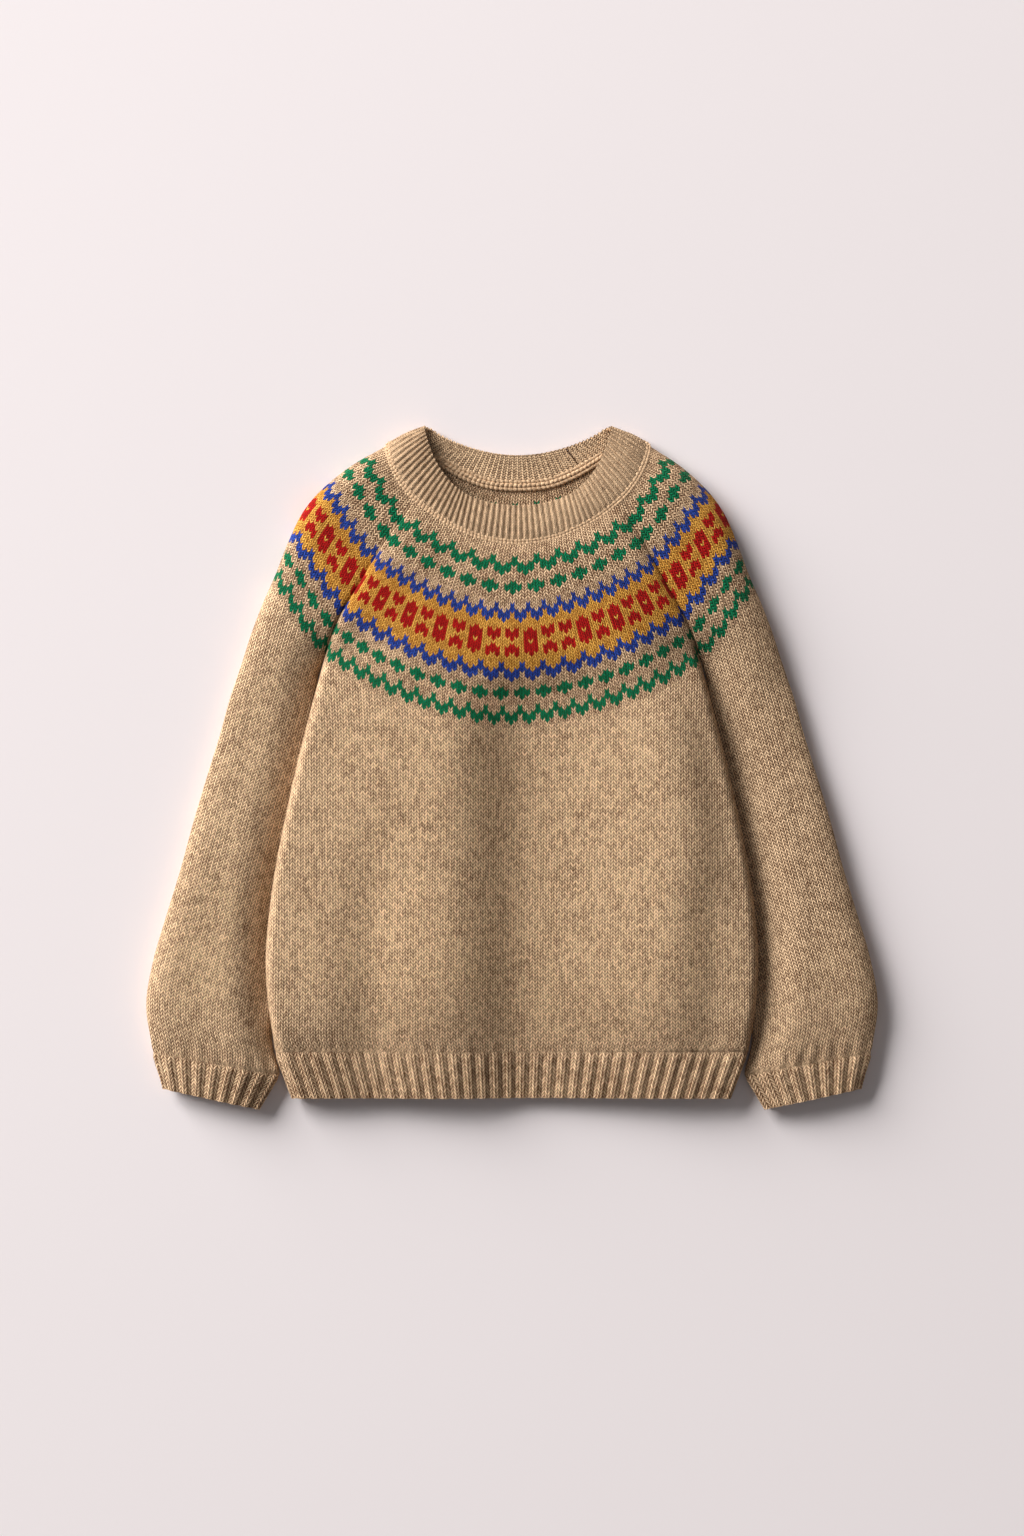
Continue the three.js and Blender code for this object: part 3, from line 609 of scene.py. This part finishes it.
UPPER_GREEN = band_of(5, 3, 3, 4, 3.58, 0)
UPPER_DIAMONDS = band_of(13, 0, 4, 4, 3.58, 0)
UPPER_BLUE = band_of(20, 3, 3, 4, 2.45, 0)
RED_UNITS = band_of(28, 0, 9, 4, 2.83, 0)
LOWER_BLUE = band_of(39, 3, 3, 4, 3.24, 2)
LOWER_DIAMONDS = band_of(47, 0, 4, 4, 3.34, 2)
LOWER_GREEN = band_of(53, 3, 3, 4, 2.78, 2)
BANDS = [UPPER_GREEN, UPPER_DIAMONDS, UPPER_BLUE, RED_UNITS, LOWER_BLUE, LOWER_DIAMONDS,
         LOWER_GREEN]
# Plain courses on which the count of stitches changes, above each band.
COUNT_CHANGES = [-1, 11.5, 18.5, 26.5, 37.5, 45.5, 51.5]
YOKE_COURSES = 59.5  # courses of the whole chart
YOKE_OFFSET = 0.4  # courses between the linking line and the chart's first one
BACK_OFFSET = -0.3  # the same at the back
# How much darker than plain knitting the yoke is; the ribs' darkening is painted shade, and the
# neckband's negative amount is painted light.
YOKE_DARKER = 0.12
RIB_PAINTED_SHADE = 0.1
NECK_PAINTED_LIGHT = -0.12


def from_peak(column, band):
    """Stitches from a column to the repeat's middle column."""
    half = band["repeat"] / 2
    return half - abs((column + band["start"]) % band["repeat"] - half)


ROUNDING = 0.6  # a zigzag's line falls by more courses beside its peak than beside its valley


def fall(column, band):
    """The course on which a zigzag's line starts in a column."""
    slope = band["drop"] / (band["repeat"] / 2)
    return (from_peak(column, band) * slope + ROUNDING).floor() + band["first"]


def zigzag(column, row, band):
    """1 on the line of a zigzag."""
    return (row - fall(column, band)).between(0, band["thick"])


def zigzag_side(column, row, band):
    """1 on a zigzag's line and below it."""
    return row - fall(column, band) > -0.5


def diamonds(column, row, band):
    """1 on small diamonds, three stitches wide and four courses high."""
    return from_peak(column, band) + abs(row - (band["first"] + 1.5)) < 1.75


def red_motifs(column, row, band, front):
    """Tall rounded motifs, and pairs of points that face each other, by turns.

    On the front the tall motif nearest the middle has two pairs on each of its sides.
    """
    repeat = band["repeat"]
    unit = ((column + repeat / 2) / repeat).floor()
    place = from_peak(column, band)
    course = row - band["first"]
    depth = abs(course - 4)
    even = (unit % 2) < 0.5
    if front:
        near = abs(unit - 1) < 1.5
        tall = even * (1 - near) + (abs(unit - 1) < 0.5)
    else:
        tall = even
    middle = place < 0.5
    sides = (place > 0.5) * (place < 1.5)
    body = (middle * (depth > 0.5) + sides * (depth < 3.5)) > 0.5
    points = (middle * (depth > 0.5) * (depth < 3.5) + sides * (depth > 1.5)) > 0.5
    inside = (course > -0.5) * (course < 8.5)
    return (tall * body + (1 - tall) * points) * inside


def knit(across, down, leg_climb):
    """Column, row, height and shade of the stitch at a place."""
    spread = abs(across.fraction() - 0.5)
    climb = down + spread * leg_climb
    column = across.floor()
    half = (across * 2).floor()
    row = climb.floor()
    strand = climb.fraction() * 2 - 1
    leg = (spread * (2 * math.pi)).math("SINE")
    height = ((1 - strand * strand) * (leg * 0.75 + 0.25)) ** 0.5
    cell = across.node("ShaderNodeCombineXYZ", {}, {0: half, 1: row})
    chance = across.node("ShaderNodeTexWhiteNoise", {"noise_dimensions": "2D"}, {0: cell})
    length = across.node("ShaderNodeCombineXYZ", {}, {0: across * STREAK, 1: row})
    streak = across.node("ShaderNodeTexNoise", {}, {0: length, 2: 1.0, 3: 1.0})
    return column, row, height, (chance - 0.5) * CHANCE_SHARE + (streak - 0.5) * STREAK_SHARE


# Spots of the yarn, from fibres up to broad clouds: how many in a metre, how many octaves, and
# how much of the tone they change.
FLECK = (700.0, 2.0, 0.5)
HEATHER = (300.0, 1.0, 0.15)
CLOUD = (45.0, 1.0, 0.25)
# Painted shade in a stitch's hollows: the tone at the foot of a stitch and how much it gains up to
# its crest.
HOLLOW_PAINTED_SHADE = -0.37
CREST = 1.35
STITCH_BUMP = {"Strength": 0.85, "Distance": 0.001}


def spots(place, kind):
    """A noise on Object coordinates, and what it adds to the tone."""
    scale, detail, amount = kind
    noise = place.node("ShaderNodeTexNoise", {}, {0: place, 2: scale, 3: detail})
    return noise, (noise - 0.5) * amount


def finish_wool(tree, shader, height, shade, high, low, darker):
    """Paints shade into each stitch's hollows, lighter up to its crest, mottles the yarn and raises
    the stitches.
    """
    place = Strand(tree, None).node("ShaderNodeTexCoord", {}, {}, 3)
    fibres, fleck = spots(place, FLECK)
    mottle = fleck + spots(place, HEATHER)[1] + spots(place, CLOUD)[1]
    # The tone runs from the low colour, painted shade in the hollows and the yarn's darker tone, up
    # to the high colour on the crests.
    tone = height * CREST + HOLLOW_PAINTED_SHADE + shade + mottle - darker
    tone = tone.math("MAXIMUM", 0.0).math("MINIMUM", 1.0)
    colour = tone.mix(low, high)
    tree.links.new(colour.socket, shader.inputs["Base Color"])
    raised = height + shade * 0.25 + fibres * 0.3
    normal = raised.node("ShaderNodeBump", {}, {**STITCH_BUMP, "Height": raised})
    tree.links.new(normal.socket, shader.inputs["Normal"])


def yoke_wool(name, counts, front):
    """Plain knitting with the round patterned yoke; counts are each band's stitches across."""
    material, tree, shader = new_material(name)
    plain_u, plain_v = uv_of(tree, "plain")
    part, depth = uv_of(tree, "yoke")
    stitches = part * 0 + counts[0]
    for course, fewer, more in zip(COUNT_CHANGES[1:], counts, counts[1:]):
        stitches = stitches + (depth > course) * (more - fewer)
    inside = depth < YOKE_COURSES
    across = plain_u + inside * (part * stitches + 0.5 - plain_u)
    down = plain_v + inside * (depth - plain_v)
    column, row, height, shade = knit(across, down, LEG)
    gold = (zigzag_side(column, row, UPPER_BLUE) * (1 - zigzag_side(column, row, LOWER_BLUE))
            * inside)
    blue = (zigzag(column, row, UPPER_BLUE) + zigzag(column, row, LOWER_BLUE)) * inside
    red = red_motifs(column, row, RED_UNITS, front) * inside
    green = (zigzag(column, row, UPPER_GREEN) + zigzag(column, row, LOWER_GREEN)
             + diamonds(column, row, UPPER_DIAMONDS) + diamonds(column, row, LOWER_DIAMONDS))
    green = green * inside
    high = gold.mix(TAN_HIGH, GOLD_HIGH)
    low = gold.mix(TAN_DARK_AND_PAINTED_SHADE, GOLD_DARK_AND_PAINTED_SHADE)
    for mask, bright, dark in ((red, RED_HIGH, RED_DARK_AND_PAINTED_SHADE), (blue, BLUE_HIGH, BLUE_DARK_AND_PAINTED_SHADE),
                               (green, GREEN_HIGH, GREEN_DARK_AND_PAINTED_SHADE)):
        high = mask.mix(high, bright)
        low = mask.mix(low, dark)
    finish_wool(tree, shader, height, shade, high, low, inside * YOKE_DARKER)
    return material


def rib_wool(name, darker):
    """Ribbed tan knitting: the ribs are in the mesh, the stitches in the material."""
    material, tree, shader = new_material(name)
    across, down = uv_of(tree, "plain")
    height, shade = knit(across, down, RIB_LEG)[2:]
    finish_wool(tree, shader, height, shade, TAN_HIGH, TAN_DARK_AND_PAINTED_SHADE, darker)
    return material


def panel_maps(grid, straight, offset):
    """Stitches and courses of a panel: plain below the yoke, and round the yoke."""
    across = lengths_across(grid)
    total = across[:, -1:]
    part = across / total - 0.5
    depth = lengths_down(grid) / YOKE_COURSE - offset
    if straight:
        plain_u = (across - total / 2) / WALE
        plain_v = -grid[..., 1] / COURSE
    else:
        fold = grid.shape[1] // 2
        plain_u = (across - across[:, fold:fold + 1]) / WALE
        middle = np.repeat(lengths_down(grid).mean(axis=1)[:, None], grid.shape[1], axis=1)
        plain_v = middle / COURSE
    return {"plain": np.stack([plain_u, plain_v], axis=-1),
            "yoke": np.stack([part, depth], axis=-1)}


def counts_of(grid):
    """Whole stitches across a panel at the middle of each band."""
    across = lengths_across(grid)[:, -1]
    depth = np.median(lengths_down(grid), axis=1) / YOKE_COURSE - YOKE_OFFSET
    counts = []
    for band in BANDS:
        middle = band["first"] + (band["drop"] + band["thick"]) / 2
        width = np.interp(middle, depth[::-1], across[::-1])
        counts.append(round(width / band["width"]))
    return counts


front_grid = between_rows(front_panel())
back_grid = between_rows(back_panel())
left_grid = between_rows(sleeve_panel(-1))
right_grid = between_rows(sleeve_panel(1))
YOKE_START = ARMPIT_ROW * BODY_STEPS
left_grid[YOKE_START:, 0] = front_grid[YOKE_START:, 0]
right_grid[YOKE_START:, 0] = front_grid[YOKE_START:, -1]
left_grid[YOKE_START:, -1] = back_grid[YOKE_START:, 0]
right_grid[YOKE_START:, -1] = back_grid[YOKE_START:, -1]


def rib_profile(phase):
    """Height of a 2 by 2 rib from 0 in the furrow to 1 on the crest."""
    return step(-0.35, 0.35, np.cos(2 * math.pi * (phase - RIB_CREST)))


def gather(grid, facing, ribs, height, reach):
    """Carries ribs on as soft gathers into the first rows of a panel, fading over its reach."""
    across = lengths_across(grid)
    phase = across / across[:, -1:] * ribs
    above = lengths_across(grid.transpose(1, 0, 2)).T
    fade = np.exp(-((above / reach) ** 2)) * step(0, 1.5, above)
    normals = normals_of(grid, facing)
    up = step(-0.2, 0.4, normals[..., 2])
    crest = rib_profile(phase) - 0.4
    return grid + normals * (height * crest * fade * up)[..., None]


# Height and reach of the gathers above the hem and above the cuffs.
HEM_GATHERS = (0.9, 7)
CUFF_GATHERS = (1.3, 11)
front_grid = gather(front_grid, 1, HEM_RIBS, *HEM_GATHERS)
left_grid = gather(left_grid, -1, CUFF_RIBS, *CUFF_GATHERS)
right_grid = gather(right_grid, 1, CUFF_RIBS, *CUFF_GATHERS)

pieces = {}
for name, grid, facing, straight in (
        ("front", front_grid, 1, True), ("back", back_grid, -1, True),
        ("sleeve_left", left_grid, -1, False), ("sleeve_right", right_grid, 1, False)):
    wool = yoke_wool(name + "_wool", counts_of(grid), name == "front")
    maps = panel_maps(grid, straight, BACK_OFFSET if name == "back" else YOKE_OFFSET)
    pieces[name] = cloth(name, draw_back(grid), facing, WALL, maps, [wool])

# The ribs' tan is darkened as painted shade, and the neckband's is lightened as painted light.
rib = rib_wool("rib_wool", RIB_PAINTED_SHADE)
neck_rib = rib_wool("neck_rib_wool", NECK_PAINTED_LIGHT)


def even_places(row, count):
    """Points at even distances along a row."""
    lengths = np.concatenate([[0], np.cumsum(np.linalg.norm(np.diff(row, axis=0), axis=-1))])
    wanted = np.linspace(0, lengths[-1], count + 1)
    return np.stack([np.interp(wanted, lengths, row[:, k]) for k in range(3)], axis=-1)


# The z of a normal from which the cloth begins to be, and from which it wholly is, upper face.
UPPER_FACE = (-0.4, 0.2)


def relief(crest, depths, normals, height):
    """Moves ribs out from the cloth's upper face, and their furrows in from its flat underside."""
    up = step(*UPPER_FACE, normals[..., 2])
    fade = step(0, RIB_FADE, depths)[:, None] * height
    return fade * (crest[None, :] * up - (1 - crest[None, :]) * (1 - up))


def ribbed_band(name, edge, lower, ribs, facing, per_rib=8, rows=16):
    """A 2 by 2 ribbed band from a panel's edge down to its own free edge."""
    count = ribs * per_rib
    top = even_places(edge, count)
    end = even_places(lower, count)
    depths = np.linspace(1, 0, rows + 1)
    grid = np.array([top + (end - top) * t for t in depths])
    normals = normals_of(grid, facing)
    phase = np.arange(count + 1) / per_rib
    grid = grid + normals * relief(rib_profile(phase), depths, normals, RIB_RELIEF)[..., None]
    grid[..., 2] = np.maximum(grid[..., 2], 0)
    height = np.linalg.norm((end - top), axis=-1).mean()
    plain_u = np.repeat(((phase - RIB_CREST) * 2 + 0.5)[None], rows + 1, axis=0)
    plain_v = np.repeat((depths * height / COURSE)[:, None], count + 1, axis=1)
    maps = {"plain": np.stack([plain_u, plain_v], axis=-1)}
    pieces[name] = cloth(name, draw_back(grid, low=False), facing, WALL, maps, [rib])


def cuff_row(side):
    """The free edge of a cuff."""
    fold_x, fold_y, under_x, under_y, rise, top = CUFF_END
    seam = (under_x, under_y, rise)
    margin, width, lean = SLEEVE_LIES[side]
    return sleeve_row(top, lean / 2, margin, width, False, seam, seam, (fold_x, fold_y), side, 0)


ribbed_band("hem_rib_front", front_grid[0], front_body_row(HEM_END), HEM_RIBS, 1)
ribbed_band("hem_rib_back", back_grid[0], back_body_row(HEM_END), HEM_RIBS, -1)
ribbed_band("cuff_left", left_grid[0], cuff_row(-1), CUFF_RIBS, -1)
ribbed_band("cuff_right", right_grid[0], cuff_row(1), CUFF_RIBS, 1)

ROUND = 2 * (len(LINKING) - 1)


def round_line(line, places):
    """Points round a whole line; places are counted on from the centre front."""
    at = places % ROUND
    half = ROUND / 2
    return on_line(line, np.where(at <= half, at, ROUND - at), np.where(at <= half, 1, -1))


def neck_grid(per_rib=6, rows=18):
    """The 1 by 1 ribbed neckband, from the linking line to its free edge."""
    count = NECK_RIBS * per_rib
    places = JOIN_AT + np.linspace(0, ROUND, 1201)
    ring = round_line(LINKING, places)
    lengths = np.concatenate([[0], np.cumsum(np.linalg.norm(np.diff(ring, axis=0), axis=-1))])
    even = np.interp(np.linspace(0, lengths[-1], count + 1), lengths, places)
    start = round_line(LINKING, even)
    end = round_line(FREE_EDGE, even)
    depths = np.linspace(0, 1, rows + 1)
    grid = np.array([start + (end - start) * t for t in depths])
    normals = normals_of(grid, 1)
    phase = np.arange(count + 1) / per_rib
    crest = step(-0.8, 0.5, -np.cos(2 * math.pi * phase))
    puff = NECK_PUFF * np.sin(math.pi * depths)[:, None] * step(*UPPER_FACE, normals[..., 2])
    grid = grid + normals * (relief(crest, depths, normals, NECK_RELIEF) + puff)[..., None]
    grid[..., 2] = np.maximum(grid[..., 2], 0)
    height = np.linalg.norm(end - start, axis=-1).mean()
    plain_u = np.repeat((phase * 2 + 0.5)[None], rows + 1, axis=0)
    plain_v = np.repeat((-depths * height / NECK_COURSE)[:, None], count + 1, axis=1)
    return grid, {"plain": np.stack([plain_u, plain_v], axis=-1)}


SLANT = 0.35  # how far a linking stitch leans across its row


def stitch_rows(name, lines, length, width, height):
    """Rows of small rounded stitches, each leaning a little across its row."""
    work = bmesh.new()
    for number, line in enumerate(lines):
        lean = SLANT if number % 2 else -SLANT
        for start, end in zip(line[:-1], line[1:]):
            along = Vector(end - start).normalized()
            across = Vector((0, 0, 1)).cross(along).normalized()
            above = along.cross(across)
            slanted = (along + across * lean).normalized()
            beside = above.cross(slanted)
            turn = Matrix((slanted * length, beside * width, above * height))
            middle = Matrix.Translation(Vector((start + end) / 2) * MM)
            bmesh.ops.create_icosphere(work, subdivisions=2, radius=0.5 * MM,
                                       matrix=middle @ turn.transposed().to_4x4())
    mesh = bpy.data.meshes.new(name)
    work.to_mesh(mesh)
    work.free()
    mesh.shade_smooth()
    mesh.materials.append(plain_yarn)
    piece = bpy.data.objects.new(name, mesh)
    bpy.context.scene.collection.objects.link(piece)
    return piece


def linking_points(count, first, last, out, lift):
    """Points along the linking line, moved out from the neck by out and up by lift."""
    places = np.linspace(first, last, count * 12 + 1)
    line = round_line(LINKING, places)
    lengths = np.concatenate([[0], np.cumsum(np.linalg.norm(np.diff(line, axis=0), axis=-1))])
    even = np.interp(np.linspace(0, lengths[-1], count + 1), lengths, places)
    line = round_line(LINKING, even)
    free = round_line(FREE_EDGE, even)
    away = line - free
    away[:, 2] = 0
    away /= np.linalg.norm(away, axis=-1, keepdims=True)
    moved = line + away * out
    moved[:, 2] = line[:, 2] + lift
    return moved


plain_yarn, yarn_tree, yarn_shader = new_material("linking_yarn")
yarn_place = Strand(yarn_tree, None).node("ShaderNodeTexCoord", {}, {}, 3)
yarn_fibres = yarn_place.node("ShaderNodeTexNoise", {}, {0: yarn_place, 2: 900.0, 3: 2.0})
yarn_colour = (yarn_fibres * 1.5 - 0.15).mix(TAN_DARK_AND_PAINTED_SHADE, TAN_HIGH)
yarn_tree.links.new(yarn_colour.socket, yarn_shader.inputs["Base Color"])

# The chain of stitches that links the neckband on, and the ridge that it makes inside the back:
# how far out from the neck and how high each row lies, and the size of a stitch.
CHAIN_STITCHES = 104
CHAIN_END = FOLD_AT + 1.2
CHAIN_ROWS = [(-1.0, -0.1), (0.9, -0.1)]
CHAIN_SIZE = (3.1, 2.5, 1.3)
RIDGE_STITCHES = 40
RIDGE_START = 11.3
RIDGE_ROWS = [(-6.0, 2.9), (-3.6, 3.1), (-1.2, 2.7)]
RIDGE_SIZE = (4.2, 2.9, 2.0)
chain = [linking_points(CHAIN_STITCHES, -CHAIN_END, CHAIN_END, out, lift)
         for out, lift in CHAIN_ROWS]
ridge = [linking_points(RIDGE_STITCHES, RIDGE_START, ROUND - RIDGE_START, out, lift)
         for out, lift in RIDGE_ROWS]
chain_piece = stitch_rows("linking_chain", chain, *CHAIN_SIZE)
ridge_piece = stitch_rows("linking_ridge", ridge, *RIDGE_SIZE)
linking = [chain_piece, ridge_piece]

grid, maps = neck_grid()
pieces["neckband"] = cloth("neckband", draw_back(grid, high=False), 1, BAND_WALL, maps,
                          [neck_rib])

# How each piece was cut before it was laid out: width, length and area.
CUTS = {
    "front": (0.33, 0.36, 0.098), "back": (0.33, 0.40, 0.105),
    "sleeve_left": (0.19, 0.41, 0.062), "sleeve_right": (0.19, 0.41, 0.062),
    "hem_rib_front": (0.31, 0.031, 0.0092), "hem_rib_back": (0.31, 0.031, 0.0092),
    "cuff_left": (0.16, 0.024, 0.0035), "cuff_right": (0.16, 0.024, 0.0035),
    "neckband": (0.45, 0.028, 0.0122),
}
for name, piece in pieces.items():
    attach(piece, "root")
    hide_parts(name)
    ("wool" if name in ("front", "back", "sleeve_left", "sleeve_right")
            else "wool_rib")
    width, length, area = CUTS[name]
    linking if name == "neckband" else []
for piece in linking:
    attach(piece, "root")

# A pale warm table under soft studio light from the upper left.
floor_work = bmesh.new()
bmesh.ops.create_grid(floor_work, x_segments=1, y_segments=1, size=4.0)
floor_mesh = bpy.data.meshes.new("table")
floor_work.to_mesh(floor_mesh)
floor_work.free()
table_top = bpy.data.objects.new("table", floor_mesh)
table_top.location = (0, 0, -0.0003)
bpy.context.scene.collection.objects.link(table_top)
table_material = bpy.data.materials.new("pale_table")
table_material.use_nodes = True
table_shader = table_material.node_tree.nodes["Principled BSDF"]
table_shader.inputs["Base Color"].default_value = yarn(244, 235, 235)
table_shader.inputs["Roughness"].default_value = 0.9
table_shader.inputs["Specular IOR Level"].default_value = 0.1
floor_mesh.materials.append(table_material)


def lamp(name, place, target, size, power):
    data = bpy.data.lights.new(name, "AREA")
    data.shape = "SQUARE"
    data.size = size
    data.energy = power
    light = bpy.data.objects.new(name, data)
    light.location = place
    aim = Vector(target) - Vector(place)
    light.rotation_euler = aim.to_track_quat("-Z", "Y").to_euler()
    bpy.context.scene.collection.objects.link(light)


lamp("window", (-6.6, 5.2, 3.2), (0, 0, 0), 6.4, 2030)
lamp("overhead_fill", (0.5, -0.3, 3.2), (0, 0, 0), 2.5, 4)
bpy.context.scene.view_settings.view_transform = "Standard"
world = bpy.data.worlds.new("studio")
bpy.context.scene.world = world
world.use_nodes = True
world.node_tree.nodes["Background"].inputs[0].default_value = (1.0, 0.97, 0.97, 1.0)
world.node_tree.nodes["Background"].inputs[1].default_value = 0.12
